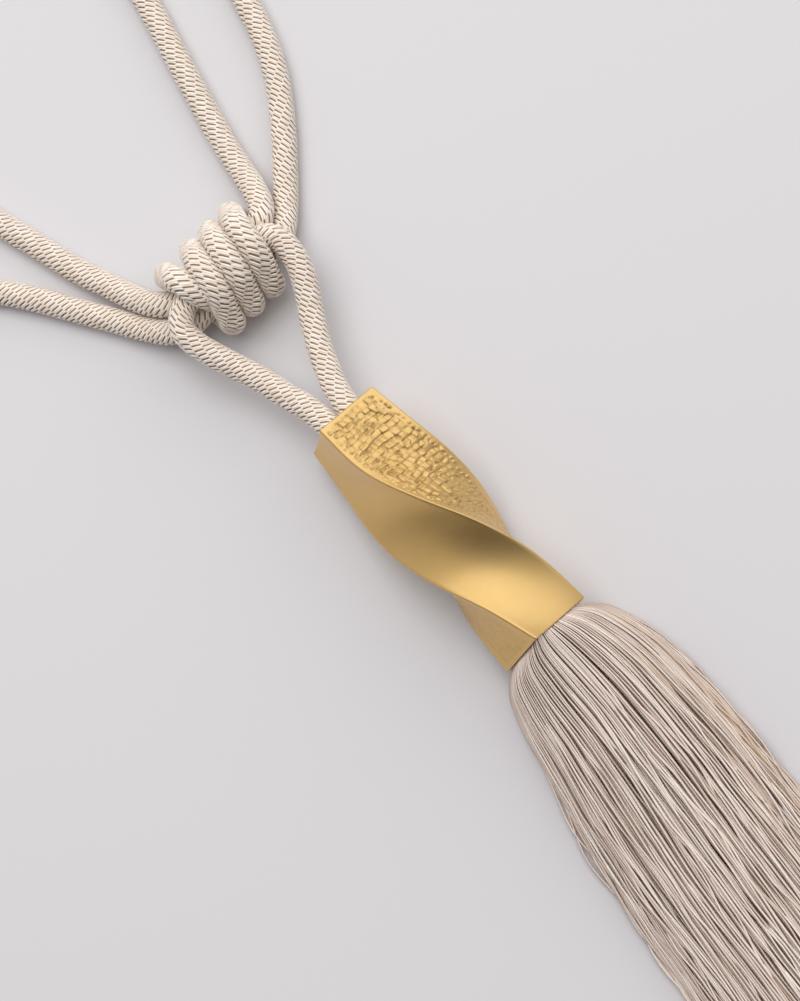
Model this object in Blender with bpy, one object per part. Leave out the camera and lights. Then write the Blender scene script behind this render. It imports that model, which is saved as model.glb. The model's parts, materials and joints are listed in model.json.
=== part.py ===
"""Curtain tieback with a tassel, lying on a flat surface, +Z up, in metres.

The tassel's axis is Y: the rope end of its metal head points to +Y and its skirt to -Y. The origin is on the
surface, where the lowest edge of the head's twist touches it. Five pieces make it up:
  head          a twisted square metal casting with a mouth for the skirt and an oblong hole for the ropes
  skirt         a bound root that fills the mouth, with about 150 locks of thread fused to it
  embrace_rope  the rope that goes round the curtain, laid in two loops, its ends butted inside the knot
  hanger_rope   the rope that carries the head: up one leg, through the knot and down the other leg
  knot_rope     four turns of rope that bind the embrace and the hanger together
"""

import math
import random

import bpy
from mathutils import Vector

GAP = 0.0003  # between neighbouring pieces

# --- head -----------------------------------------------------------------------------------------------------
HEAD_LENGTH = 0.0911
HEAD_ROPE_END = 0.0347  # Y of the end that the ropes leave; the lowest edge touches down at Y = 0
HEAD_AXIS_HEIGHT = (0.0182, 0.0157)  # at the rope end, which is lifted, and at the skirt end
HEAD_EDGE = 0.0010  # how far the square's edges are cut back
HEAD_HOLLOW = 0.0004  # how far the faces curve in at their middle
HEAD_STATIONS = 30
HEAD_FACE_STEPS = 4
HEAD_SECTIONS = (  # share of the length from the rope end, side of the square, degrees that its top face leans to +X
    (0.00, 0.0222, 17.7),
    (0.20, 0.0248, 24.8),
    (0.40, 0.0257, 47.6),
    (0.60, 0.0253, 77.6),
    (0.80, 0.0245, 106.4),
    (1.00, 0.0238, 125.5),
)
MOUTH_DEPTH = 0.014
MOUTH_WALL = 0.0014
MOUTH_STATIONS = 7  # along the mouth's depth
MOUTH_FACE_STEPS = 3
ROOT_GAP = 1.3 * GAP  # between the mouth's wall and the bound root

# --- ropes ----------------------------------------------------------------------------------------------------
ROPE_RADIUS = 0.0040
CORE_RADIUS = 0.0038  # of the ropes that the knot squeezes
ROPE_STEP = 0.0125  # between a rope's points where it lies in a gentle curve
KNOT_STEP = 0.0048  # between its points in the tight bends of the knot
ROPE_SIDES_RESOLUTION = 4  # of Blender's bevel: 12 sides
ROPE_HOLE_DEPTH = 0.010
ROPE_HOLE_GAP = 1.4 * GAP  # between the hole's wall and the legs of the hanger
ROPE_HOLE_STEPS = 10  # round each of its half circles
ROPE_HOLE_LIFT = 0.0001  # keeps its wall off the middle of the head's faces

# --- knot: two embrace ropes side by side with the hanger in the groove on top, bound by four turns ------------
KNOT_X = 0.0034  # where the ends of the embrace rope butt
KNOT_Y = 0.0958
KNOT_GAP = 0.0006  # between the ropes inside the knot
CORE_SPACING = 2 * CORE_RADIUS + KNOT_GAP
TURN_RADIUS = 0.0039
TURN_OFFSET = CORE_RADIUS + TURN_RADIUS + KNOT_GAP  # from the middle of a core rope to the middle of the turns
CORE_Z = TURN_RADIUS + TURN_OFFSET
CREST_Z = CORE_Z + CORE_SPACING * math.sin(math.radians(60))
TURN_STEPS = 20  # points in one turn
TURN_DRIFT = (  # turns from the underside, the rope's place along X, its radius
    (0.08, 0.0197, TURN_RADIUS),
    (0.25, 0.0189, TURN_RADIUS),
    (0.50, 0.0174, TURN_RADIUS),
    (0.75, 0.0143, TURN_RADIUS),
    (1.00, 0.0118, TURN_RADIUS),
    (1.25, 0.0105, TURN_RADIUS),
    (1.50, 0.0091, TURN_RADIUS),
    (1.75, 0.0059, TURN_RADIUS),
    (2.00, 0.0035, TURN_RADIUS),
    (2.25, 0.0022, TURN_RADIUS),
    (2.50, 0.0007, TURN_RADIUS),
    (2.75, -0.0024, TURN_RADIUS),
    (3.00, -0.0050, TURN_RADIUS),
    (3.25, -0.0089, TURN_RADIUS),
    (3.45, -0.0078, TURN_RADIUS),
    (3.60, -0.0089, 0.0034),
)
KNOT_HALF_LENGTH = 0.012
KNOT_HALF_WIDTH = 0.006
SQUEEZE_END = 0.010  # past the knot's ends, where a rope has its full radius again
BEND_REACH_X = 0.038  # the ropes' tight bends lie this near to the knot
BEND_REACH_Y = 0.024
LEG_X = 0.0042  # of the hanger's legs where they enter the head

# --- skirt ----------------------------------------------------------------------------------------------------
SKIRT_LENGTH = 0.155
ROOT_RECESS = 0.001  # of the bound root's face behind the mouth's rim
LOCK_ROOT = 0.0006  # how deep a lock reaches into the bound root
LOCK_INSET = 4 * GAP  # of the locks from the mouth's wall
SPREAD_END = 0.013  # past the mouth, where the skirt has dropped onto the surface
SKIRT_SECTIONS = (  # distance past the mouth, half width, height, drift along X
    (0.000, 0.0190, 0.0275, -0.0008),
    (0.016, 0.0250, 0.0250, -0.0010),
    (0.030, 0.0275, 0.0232, -0.0016),
    (0.057, 0.0309, 0.0198, -0.0049),
    (0.085, 0.0325, 0.0172, -0.0090),
    (0.112, 0.0330, 0.0152, -0.0123),
    (0.160, 0.0335, 0.0135, -0.0178),
)
LOCK_COLUMNS = 24
LOCK_ROWS = 8  # in the middle column
LOCK_FILL = 0.74  # share of its cell that a lock fills
LOCK_STATIONS = (0.004, 0.011, 0.026, 0.058, 0.105)  # distances past the mouth
LOCK_UNEVEN = 0.004  # how much the ends differ in length


def in_metres(points):
    """A route's points as vectors."""
    return [Vector(p) for p in points]


# Routes of the ropes' middles, chosen by hand. Each row is x, y, z.
LEFT_LOOP = (
    (-0.0036, KNOT_Y + CORE_SPACING / 2, CORE_Z),
    (-0.0106, KNOT_Y + CORE_SPACING / 2, CORE_Z),
    (-0.0158, 0.1026, 0.0114),
    (-0.0204, 0.1094, 0.0085),
    (-0.0244, 0.1201, 0.0055),
    (-0.0291, 0.1332, ROPE_RADIUS),
    (-0.0329, 0.1478, ROPE_RADIUS),
    (-0.0369, 0.1626, ROPE_RADIUS),
    (-0.0414, 0.1811, ROPE_RADIUS),
    (-0.0452, 0.2006, ROPE_RADIUS),
    (-0.0523, 0.2168, ROPE_RADIUS),
    (-0.0655, 0.2266, ROPE_RADIUS),
    (-0.0806, 0.2228, ROPE_RADIUS),
    (-0.0889, 0.2087, ROPE_RADIUS),
    (-0.0876, 0.1915, ROPE_RADIUS),
    (-0.0785, 0.1755, ROPE_RADIUS),
    (-0.0656, 0.1609, ROPE_RADIUS),
    (-0.0520, 0.1455, ROPE_RADIUS),
    (-0.0446, 0.1346, ROPE_RADIUS),
    (-0.0379, 0.1234, ROPE_RADIUS),
    (-0.0312, 0.1122, ROPE_RADIUS),
    (-0.0260, 0.1033, 0.0054),
    (-0.0207, 0.0957, 0.0084),
    (-0.0159, 0.0921, 0.0106),
    (-0.0106, KNOT_Y - CORE_SPACING / 2, 0.0120),
    (-0.0036, KNOT_Y - CORE_SPACING / 2, CORE_Z),
)
RIGHT_LOOP = (
    (0.0104, KNOT_Y - CORE_SPACING / 2, CORE_Z),
    (0.0164, KNOT_Y - CORE_SPACING / 2, CORE_Z),
    (0.0216, 0.0918, 0.0108),
    (0.0271, 0.0941, 0.0076),
    (0.0332, 0.0999, 0.0050),
    (0.0403, 0.1078, ROPE_RADIUS),
    (0.0466, 0.1150, ROPE_RADIUS),
    (0.0526, 0.1225, ROPE_RADIUS),
    (0.0609, 0.1347, ROPE_RADIUS),
    (0.0667, 0.1475, ROPE_RADIUS),
    (0.0705, 0.1601, ROPE_RADIUS),
    (0.0750, 0.1745, ROPE_RADIUS),
    (0.0820, 0.1902, ROPE_RADIUS),
    (0.0893, 0.2068, ROPE_RADIUS),
    (0.0922, 0.2235, ROPE_RADIUS),
    (0.0873, 0.2377, ROPE_RADIUS),
    (0.0745, 0.2443, ROPE_RADIUS),
    (0.0625, 0.2366, ROPE_RADIUS),
    (0.0562, 0.2214, ROPE_RADIUS),
    (0.0520, 0.2033, ROPE_RADIUS),
    (0.0472, 0.1827, ROPE_RADIUS),
    (0.0400, 0.1557, ROPE_RADIUS),
    (0.0332, 0.1285, ROPE_RADIUS),
    (0.0312, 0.1174, 0.0056),
    (0.0298, 0.1100, 0.0082),
    (0.0277, 0.1042, 0.0106),
    (0.0244, 0.1008, 0.0122),
    (0.0190, KNOT_Y + CORE_SPACING / 2, CORE_Z),
    (0.0114, KNOT_Y + CORE_SPACING / 2, CORE_Z),
)
HANGER = (
    (-LEG_X, 0.0251, 0.0182),
    (-LEG_X, 0.0310, 0.0182),
    (-LEG_X, 0.0368, 0.0181),
    (-0.0052, 0.0451, 0.0172),
    (-0.0074, 0.0531, 0.0163),
    (-0.0096, 0.0619, 0.0157),
    (-0.0124, 0.0701, 0.0161),
    (-0.0151, 0.0780, 0.0174),
    (-0.0169, 0.0849, 0.0188),
    (-0.0165, 0.0907, 0.0198),
    (-0.0122, 0.0949, 0.0197),
    (-0.0056, KNOT_Y, CREST_Z),
    (0.0034, KNOT_Y, CREST_Z),
    (0.0134, KNOT_Y, CREST_Z),
    (0.0197, 0.0951, CREST_Z),
    (0.0241, 0.0914, CREST_Z),
    (0.0246, 0.0853, 0.0184),
    (0.0230, 0.0790, 0.0172),
    (0.0196, 0.0725, 0.0160),
    (0.0152, 0.0656, 0.0155),
    (0.0109, 0.0578, 0.0157),
    (0.0075, 0.0499, 0.0164),
    (0.0053, 0.0434, 0.0173),
    (LEG_X, 0.0368, 0.0181),
    (LEG_X, 0.0310, 0.0182),
    (LEG_X, 0.0251, 0.0182),
)


# --- helpers --------------------------------------------------------------------------------------------------
def clear_scene():
    for obj in list(bpy.data.objects):
        bpy.data.objects.remove(obj, do_unlink=True)


def make_material(name, colour, metallic, roughness):
    material = bpy.data.materials.new(name)
    material.use_nodes = True
    shader = material.node_tree.nodes["Principled BSDF"]
    shader.inputs["Base Color"].default_value = (*colour, 1.0)
    shader.inputs["Metallic"].default_value = metallic
    shader.inputs["Roughness"].default_value = roughness
    return material


def add_mesh(name, points, faces, material=None):
    mesh = bpy.data.meshes.new(name)
    mesh.from_pydata([tuple(p) for p in points], [], faces)
    mesh.update()
    obj = bpy.data.objects.new(name, mesh)
    bpy.context.scene.collection.objects.link(obj)
    if material:
        mesh.materials.append(material)
    return obj


def add_boolean(obj, other, operation):
    """Joins other to obj or cuts it out, and keeps other as a helper that isn't a piece."""
    modifier = obj.modifiers.new(operation.title(), "BOOLEAN")
    modifier.operation = operation
    modifier.object = other
    other.hide_render = True
    other.display_type = "WIRE"


def from_table(table, place):
    """The row's other columns at place, eased between the rows on either side of it."""
    rows = [r for r in table if r[0] <= place] or [table[0]]
    low = rows[-1]
    high = table[min(table.index(low) + 1, len(table) - 1)]
    before = table[max(table.index(low) - 1, 0)]
    after = table[min(table.index(high) + 1, len(table) - 1)]
    if high is low:
        return low[1:]
    share = max(0.0, (place - low[0]) / (high[0] - low[0]))
    values = []
    for a, b, c, d in zip(before[1:], low[1:], high[1:], after[1:]):
        slope_in = (c - a) / 2 * (high[0] - low[0]) / max((high[0] - before[0]) / 2, 1e-9)
        slope_out = (d - b) / 2 * (high[0] - low[0]) / max((after[0] - low[0]) / 2, 1e-9)
        s2, s3 = share**2, share**3
        values.append(
            b * (2 * s3 - 3 * s2 + 1)
            + slope_in * (s3 - 2 * s2 + share)
            + c * (3 * s2 - 2 * s3)
            + slope_out * (s3 - s2)
        )
    return values


def smoothstep(value):
    value = min(1.0, max(0.0, value))
    return value * value * (3 - 2 * value)


def smooth_route(points, fine=12):
    """Points along a smooth curve through every point of the route."""
    ends = [2 * points[0] - points[1], *points, 2 * points[-1] - points[-2]]
    curve = []
    for p0, p1, p2, p3 in zip(ends, ends[1:], ends[2:], ends[3:]):
        t1 = (p1 - p0).length ** 0.5
        t2 = t1 + (p2 - p1).length ** 0.5
        t3 = t2 + (p3 - p2).length ** 0.5
        for i in range(fine):
            t = t1 + (t2 - t1) * i / fine
            a1 = p0 * ((t1 - t) / t1) + p1 * (t / t1)
            a2 = p1 * ((t2 - t) / (t2 - t1)) + p2 * ((t - t1) / (t2 - t1))
            a3 = p2 * ((t3 - t) / (t3 - t2)) + p3 * ((t - t2) / (t3 - t2))
            b1 = a1 * ((t2 - t) / t2) + a2 * (t / t2)
            b2 = a2 * ((t3 - t) / (t3 - t1)) + a3 * ((t - t1) / (t3 - t1))
            curve.append(b1 * ((t2 - t) / (t2 - t1)) + b2 * ((t - t1) / (t2 - t1)))
    return [*curve, points[-1]]


def thin_out(curve, step_at):
    """The curve's points again, about step_at(point) apart, with both ends kept."""
    kept = [curve[0]]
    run = 0.0
    for last, point in zip(curve, curve[1:]):
        run += (point - last).length
        if run >= step_at(point):
            kept.append(point)
            run = 0.0
    if (kept[-1] - curve[-1]).length < 0.5 * step_at(curve[-1]):
        kept.pop()
    return [*kept, curve[-1]]


def add_rope(name, points, radii, material):
    """A rope as a curve with a round bevel and filled ends."""
    curve = bpy.data.curves.new(name, "CURVE")
    curve.dimensions = "3D"
    curve.bevel_depth = ROPE_RADIUS
    curve.bevel_resolution = ROPE_SIDES_RESOLUTION
    curve.use_fill_caps = True
    spline = curve.splines.new("POLY")
    spline.points.add(len(points) - 1)
    for slot, point, radius in zip(spline.points, points, radii):
        slot.co = (*point, 1.0)
        slot.radius = radius / ROPE_RADIUS
    spline.use_smooth = True
    curve.materials.append(material)
    obj = bpy.data.objects.new(name, curve)
    bpy.context.scene.collection.objects.link(obj)
    return obj


# --- head -----------------------------------------------------------------------------------------------------
def head_y(share):
    """Y of the head's section at this share of its length, from the rope end."""
    return HEAD_ROPE_END - HEAD_LENGTH * share


def head_centre(share):
    top, bottom = HEAD_AXIS_HEIGHT
    return Vector((0.0, head_y(share), top + (bottom - top) * share))


def head_side(share):
    return from_table(HEAD_SECTIONS, share)[0]


def head_angle(share):
    return math.radians(from_table(HEAD_SECTIONS, share)[1])


def place_in_section(share, across, up):
    """The point that lies across and up from the head's axis in the turned square at this share of its length."""
    angle = head_angle(share)
    point = head_centre(share)
    point.x += across * math.cos(angle) + up * math.sin(angle)
    point.z += up * math.cos(angle) - across * math.sin(angle)
    return point


def square_outline(side, edge, hollow, steps):
    """(across, up) points round a square with its edges cut back and its faces curved in."""
    half = side / 2
    outline = []
    for quarter in range(4):
        turn = math.radians(90) * quarter
        for i in range(steps + 1):
            along = -1 + 2 * i / steps
            across = along * (half - edge)
            up = half - hollow * (1 - along**2)
            outline.append(
                (
                    across * math.cos(turn) + up * math.sin(turn),
                    up * math.cos(turn) - across * math.sin(turn),
                )
            )
    return outline


def twisted_prism(name, shares, inset, edge, hollow, steps, material=None):
    """A closed solid of the head's turned sections, inset from its outside."""
    points = []
    for share in shares:
        side = head_side(share) - 2 * inset
        for across, up in square_outline(side, edge, hollow, steps):
            point = place_in_section(share, across, up)
            point.z = max(point.z, 0.0)
            points.append(point)
    ring = 4 * (steps + 1)
    faces = [
        (r * ring + i, r * ring + (i + 1) % ring, (r + 1) * ring + (i + 1) % ring, (r + 1) * ring + i)
        for r in range(len(shares) - 1)
        for i in range(ring)
    ]
    last = (len(shares) - 1) * ring
    faces.append(tuple(reversed(range(ring))))
    faces.append(tuple(range(last, last + ring)))
    return add_mesh(name, points, [tuple(reversed(f)) for f in faces], material)


def oblong_cutter(name):
    """A rod of oblong section that cuts the hole for the two legs of the hanger."""
    radius = ROPE_RADIUS + ROPE_HOLE_GAP
    outline = []
    for side in (1, -1):
        for i in range(ROPE_HOLE_STEPS + 1):
            angle = math.radians(90 - 180 * i / ROPE_HOLE_STEPS)
            outline.append((side * (LEG_X + radius * math.cos(angle)), side * radius * math.sin(angle)))
    centre = head_centre(0.0)
    near = centre.y + ROPE_RADIUS  # clear of the head's end
    far = centre.y - ROPE_HOLE_DEPTH
    points = [(x, y, centre.z + ROPE_HOLE_LIFT + z) for y in (near, far) for x, z in outline]
    ring = len(outline)
    faces = [(i, (i + 1) % ring, ring + (i + 1) % ring, ring + i) for i in range(ring)]
    faces.append(tuple(reversed(range(ring))))
    faces.append(tuple(range(ring, 2 * ring)))
    return add_mesh(name, points, [tuple(reversed(f)) for f in faces])


def mouth_share(station):
    """Share of the head's length at this station of the mouth, from 0 at its floor to MOUTH_STATIONS at its rim."""
    return 1 - MOUTH_DEPTH / HEAD_LENGTH * (1 - station / MOUTH_STATIONS)


def build_head(material):
    shares = [i / (HEAD_STATIONS - 1) for i in range(HEAD_STATIONS)]
    head = twisted_prism("head", shares, 0.0, HEAD_EDGE, HEAD_HOLLOW, HEAD_FACE_STEPS, material)
    mouth = [mouth_share(i) for i in range(MOUTH_STATIONS + 2)]
    cutter = twisted_prism("mouth_cutter", mouth, MOUTH_WALL, HEAD_EDGE, 0.0, MOUTH_FACE_STEPS)
    add_boolean(head, cutter, "DIFFERENCE")
    add_boolean(head, oblong_cutter("rope_hole_cutter"), "DIFFERENCE")
    return head


# --- skirt ----------------------------------------------------------------------------------------------------
def root_point(column, row, distance):
    """Where the skirt's cell (column from -1 to 1, row from 0 to 1) lies in the mouth's turned square."""
    half = head_side(1.0) / 2 - MOUTH_WALL - LOCK_INSET
    turn = head_angle(1.0) - math.radians(90)  # a square looks the same after a quarter turn
    cosine = math.cos(turn)
    sine = math.sin(turn)
    across = column * half * (cosine + sine)
    low = max((across * cosine - half) / sine, (-half - across * sine) / cosine)
    high = min((across * cosine + half) / sine, (half - across * sine) / cosine)
    centre = head_centre(1.0)
    return Vector((centre.x + across, head_y(1.0) - distance, centre.z + low + (high - low) * row))


def laid_point(column, row, distance):
    """Where the cell lies once the skirt has spread over the surface, every column of locks resting on it."""
    half_width, height, drift = from_table(SKIRT_SECTIONS, distance)
    crown = math.sqrt(max(0.0, 1 - column**2))
    return Vector((drift + half_width * column, head_y(1.0) - distance, height * crown * row))


def skirt_point(column, row, distance):
    spread = smoothstep((distance - LOCK_STATIONS[0] / 2) / SPREAD_END)
    return root_point(column, row, distance).lerp(laid_point(column, row, distance), spread)


def lock_cells():
    """(low column, high column, low row, high row) of each lock's cell."""
    cells = []
    for i in range(LOCK_COLUMNS):
        middle = (2 * i + 1) / LOCK_COLUMNS - 1
        half = LOCK_FILL / LOCK_COLUMNS
        rows = max(1, round(LOCK_ROWS * math.sqrt(1 - middle**2)))
        for j in range(rows):
            low = j / rows
            cells.append((middle - half, middle + half, low, low + LOCK_FILL / rows))
    return cells


def build_skirt(material):
    shares = [mouth_share(i) for i in range(1, MOUTH_STATIONS)] + [1 - ROOT_RECESS / HEAD_LENGTH]
    skirt = twisted_prism("skirt", shares, MOUTH_WALL + ROOT_GAP, HEAD_EDGE, 0.0, MOUTH_FACE_STEPS, material)
    chance = random.Random(7)
    points = []
    faces = []
    for low_column, high_column, low_row, high_row in lock_cells():
        end = SKIRT_LENGTH - LOCK_UNEVEN * chance.random()
        stations = (-ROOT_RECESS - LOCK_ROOT, *LOCK_STATIONS, end)
        first = len(points)
        for distance in stations:
            for column, row in (
                (low_column, low_row),
                (high_column, low_row),
                (high_column, high_row),
                (low_column, high_row),
            ):
                points.append(skirt_point(column, row, distance))
        for r in range(len(stations) - 1):
            for i in range(4):
                a = first + 4 * r + i
                b = first + 4 * r + (i + 1) % 4
                faces.append((a, b, b + 4, a + 4))
        faces.append((first + 3, first + 2, first + 1, first))
        end_ring = first + 4 * (len(stations) - 1)
        faces.append((end_ring, end_ring + 1, end_ring + 2, end_ring + 3))
    locks = add_mesh("skirt_locks", points, faces)
    add_boolean(skirt, locks, "UNION")
    return skirt


# --- ropes ----------------------------------------------------------------------------------------------------
def near_knot(point):
    return abs(point.y - KNOT_Y) < BEND_REACH_Y and abs(point.x - KNOT_X) < BEND_REACH_X


def rope_step(point):
    return KNOT_STEP if near_knot(point) else ROPE_STEP


def core_or_full(point):
    """The rope's radius: squeezed inside the knot, full outside."""
    away = max(abs(point.x - KNOT_X) - KNOT_HALF_LENGTH, abs(point.y - KNOT_Y) - KNOT_HALF_WIDTH, 0.0)
    return CORE_RADIUS + (ROPE_RADIUS - CORE_RADIUS) * smoothstep(away / SQUEEZE_END)


def build_embrace(material):
    """One rope: from the middle of the knot through the left loop, back through the knot and the right loop."""
    butt = Vector((KNOT_X, KNOT_Y + CORE_SPACING / 2, CORE_Z))
    start = butt - Vector((GAP, 0, 0))
    end = butt + Vector((GAP, 0, 0))
    through = Vector((KNOT_X, KNOT_Y - CORE_SPACING / 2, CORE_Z))
    route = [start, *in_metres(LEFT_LOOP), through, *in_metres(RIGHT_LOOP), end]
    points = thin_out(smooth_route(route), rope_step)
    for point in points:
        point.z = max(point.z, ROPE_RADIUS)
    return add_rope("embrace_rope", points, [core_or_full(p) for p in points], material)


def build_hanger(material):
    points = thin_out(smooth_route(in_metres(HANGER)), lambda p: KNOT_STEP)
    return add_rope("hanger_rope", points, [core_or_full(p) for p in points], material)


def turn_outline(samples=96):
    """(y, z) points round the three core ropes at the turns' distance, evenly spaced from the underside."""
    corners = (
        (CORE_SPACING / 2, CORE_Z, -90),
        (0.0, CREST_Z, 30),
        (-CORE_SPACING / 2, CORE_Z, 150),
    )
    loop = [Vector((0.0, CORE_Z - TURN_OFFSET))]
    for y, z, start in corners:
        for i in range(13):
            angle = math.radians(start + 10 * i)
            loop.append(Vector((y + TURN_OFFSET * math.cos(angle), z + TURN_OFFSET * math.sin(angle))))
    loop.append(loop[0])
    lengths = [0.0]
    for a, b in zip(loop, loop[1:]):
        lengths.append(lengths[-1] + (b - a).length)
    outline = []
    for i in range(samples):
        target = lengths[-1] * i / samples
        k = max(n for n, length in enumerate(lengths[:-1]) if length <= target)
        share = (target - lengths[k]) / (lengths[k + 1] - lengths[k])
        outline.append(loop[k].lerp(loop[k + 1], share))
    return outline


def build_knot(material):
    outline = turn_outline()
    first = TURN_DRIFT[0][0]
    last = TURN_DRIFT[-1][0]
    count = round((last - first) * TURN_STEPS)
    points = []
    radii = []
    for i in range(count + 1):
        turns = first + (last - first) * i / count
        x, radius = from_table(TURN_DRIFT, turns)
        y, z = outline[round(turns * len(outline)) % len(outline)]
        points.append(Vector((x, KNOT_Y + y, z)))
        radii.append(radius)
    return add_rope("knot_rope", points, radii, material)


def main():
    clear_scene()
    gold = make_material("gold", (0.72, 0.50, 0.20), 1.0, 0.35)
    thread = make_material("thread", (0.66, 0.58, 0.50), 0.0, 0.60)
    rope = make_material("rope", (0.74, 0.67, 0.58), 0.0, 0.70)
    build_head(gold)
    build_skirt(thread)
    build_embrace(rope)
    build_hanger(rope)
    build_knot(rope)


main()
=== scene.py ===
"""Looks of a curtain tieback laid flat: twisted gold head, thread skirt and laid ropes.

Lengths are in metres, +Z up, and the tassel's axis is Y. The ropes' routes repeat those of the solids.
"""

import json
import math

import bpy
import numpy as np
from mathutils import Matrix, Vector

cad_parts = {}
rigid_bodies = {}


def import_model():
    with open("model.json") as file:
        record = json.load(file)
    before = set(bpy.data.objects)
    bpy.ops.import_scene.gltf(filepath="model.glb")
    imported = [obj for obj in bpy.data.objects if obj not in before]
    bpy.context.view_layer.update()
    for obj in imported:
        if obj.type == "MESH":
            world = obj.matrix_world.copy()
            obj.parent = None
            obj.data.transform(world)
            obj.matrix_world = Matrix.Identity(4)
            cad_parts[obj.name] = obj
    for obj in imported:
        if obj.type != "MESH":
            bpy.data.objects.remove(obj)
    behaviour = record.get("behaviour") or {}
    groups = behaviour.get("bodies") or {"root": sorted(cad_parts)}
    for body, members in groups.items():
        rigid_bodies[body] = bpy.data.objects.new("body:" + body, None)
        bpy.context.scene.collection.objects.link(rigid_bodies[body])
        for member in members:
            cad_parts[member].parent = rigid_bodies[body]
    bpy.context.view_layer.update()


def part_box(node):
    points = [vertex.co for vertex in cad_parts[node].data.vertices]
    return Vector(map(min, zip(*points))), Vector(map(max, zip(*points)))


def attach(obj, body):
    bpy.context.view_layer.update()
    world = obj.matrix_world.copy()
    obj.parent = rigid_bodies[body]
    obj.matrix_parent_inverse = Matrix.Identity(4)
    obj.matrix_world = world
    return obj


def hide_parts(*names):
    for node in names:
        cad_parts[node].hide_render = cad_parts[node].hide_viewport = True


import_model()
MM = 0.001
FLOOR_GAP = 0.0001  # between the floor and whatever lies on it

# --- the photograph's view ------------------------------------------------------------------------------------
PICTURE_SIZE = (800, 1001)
FOCAL_PIXELS = 2359.0
CAMERA_TARGET = Vector((-0.0045, 0.0069, 0.0))
CAMERA_DISTANCE = 0.744
CAMERA_BACK = Vector((0.02, -0.15, 1.0)).normalized()  # from the object towards the camera
CAMERA_UP = Vector((0.684, 0.729, 0.0))  # what shows as up in the picture, along the floor

# --- ropes ----------------------------------------------------------------------------------------------------
ROPE_RADIUS = 0.0040
CORE_RADIUS = 0.0038
ROPE_STRANDS = 9.5  # strands cut by a ring of the rope, each with its slits half a pitch from its neighbours'
ROPE_LAY = 0.0195  # length of the rope in which a strand goes once round it
ROPE_COLUMNS = 7  # rows of slits cut by a ring
COLUMN_LENGTH = 0.00200  # of rope in which a strand meets the next row of slits
RING_STEP = COLUMN_LENGTH / 4
RING_POINTS = round(6 * ROPE_STRANDS)
SLIT_DEPTH = 0.00033
PAD_CROWN = 0.00028
ROPE_RISE = 0.00018  # of the pads' tops over the rope's radius
END_ROUNDING = 0.0012
BUTT_GAP = 0.0003  # from the knot's middle to either end of the embrace rope

# --- knot -----------------------------------------------------------------------------------------------------
KNOT_X = 0.0034
KNOT_Y = 0.0958
KNOT_GAP = 0.0006
CORE_SPACING = 2 * CORE_RADIUS + KNOT_GAP
TURN_RADIUS = 0.0039
TURN_OFFSET = CORE_RADIUS + TURN_RADIUS + KNOT_GAP
TURN_FULLNESS = 1.06  # the turns are pressed together until they touch
CORE_Z = TURN_RADIUS + TURN_OFFSET
CREST_Z = CORE_Z + CORE_SPACING * math.sin(math.radians(60))
TURN_DRIFT = (  # turns from the underside, the rope's place along X, its radius
    (0.08, 0.0197, TURN_RADIUS),
    (0.25, 0.0189, TURN_RADIUS),
    (0.50, 0.0174, TURN_RADIUS),
    (0.75, 0.0137, TURN_RADIUS),
    (1.00, 0.0118, TURN_RADIUS),
    (1.25, 0.0105, TURN_RADIUS),
    (1.50, 0.0091, TURN_RADIUS),
    (1.75, 0.0050, TURN_RADIUS),
    (2.00, 0.0035, TURN_RADIUS),
    (2.25, 0.0022, TURN_RADIUS),
    (2.50, 0.0007, TURN_RADIUS),
    (2.75, -0.0034, TURN_RADIUS),
    (3.00, -0.0050, TURN_RADIUS),
    (3.25, -0.0089, TURN_RADIUS),
    (3.45, -0.0066, 0.0038),
    (3.64, -0.0034, 0.0033),
)
TUCK_START = 3.38  # from this turn on the rope dips under the turn before it
TUCK = 0.34  # share by which it comes closer to the knot's middle
KNOT_HALF_LENGTH = 0.012
KNOT_HALF_WIDTH = 0.006
SQUEEZE_END = 0.010
LEG_X = 0.0042

LEFT_LOOP = (
    (-0.0036, KNOT_Y + CORE_SPACING / 2, CORE_Z),
    (-0.0106, KNOT_Y + CORE_SPACING / 2, CORE_Z),
    (-0.0158, 0.1026, 0.0114),
    (-0.0204, 0.1094, 0.0085),
    (-0.0244, 0.1201, 0.0055),
    (-0.0291, 0.1332, ROPE_RADIUS),
    (-0.0329, 0.1478, ROPE_RADIUS),
    (-0.0369, 0.1626, ROPE_RADIUS),
    (-0.0414, 0.1811, ROPE_RADIUS),
    (-0.0452, 0.2006, ROPE_RADIUS),
    (-0.0523, 0.2168, ROPE_RADIUS),
    (-0.0655, 0.2266, ROPE_RADIUS),
    (-0.0806, 0.2228, ROPE_RADIUS),
    (-0.0889, 0.2087, ROPE_RADIUS),
    (-0.0876, 0.1915, ROPE_RADIUS),
    (-0.0785, 0.1755, ROPE_RADIUS),
    (-0.0656, 0.1609, ROPE_RADIUS),
    (-0.0520, 0.1455, ROPE_RADIUS),
    (-0.0446, 0.1346, ROPE_RADIUS),
    (-0.0379, 0.1234, ROPE_RADIUS),
    (-0.0312, 0.1122, ROPE_RADIUS),
    (-0.0260, 0.1033, 0.0054),
    (-0.0207, 0.0957, 0.0084),
    (-0.0159, 0.0921, 0.0106),
    (-0.0106, KNOT_Y - CORE_SPACING / 2, 0.0120),
    (-0.0036, KNOT_Y - CORE_SPACING / 2, CORE_Z),
)
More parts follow.
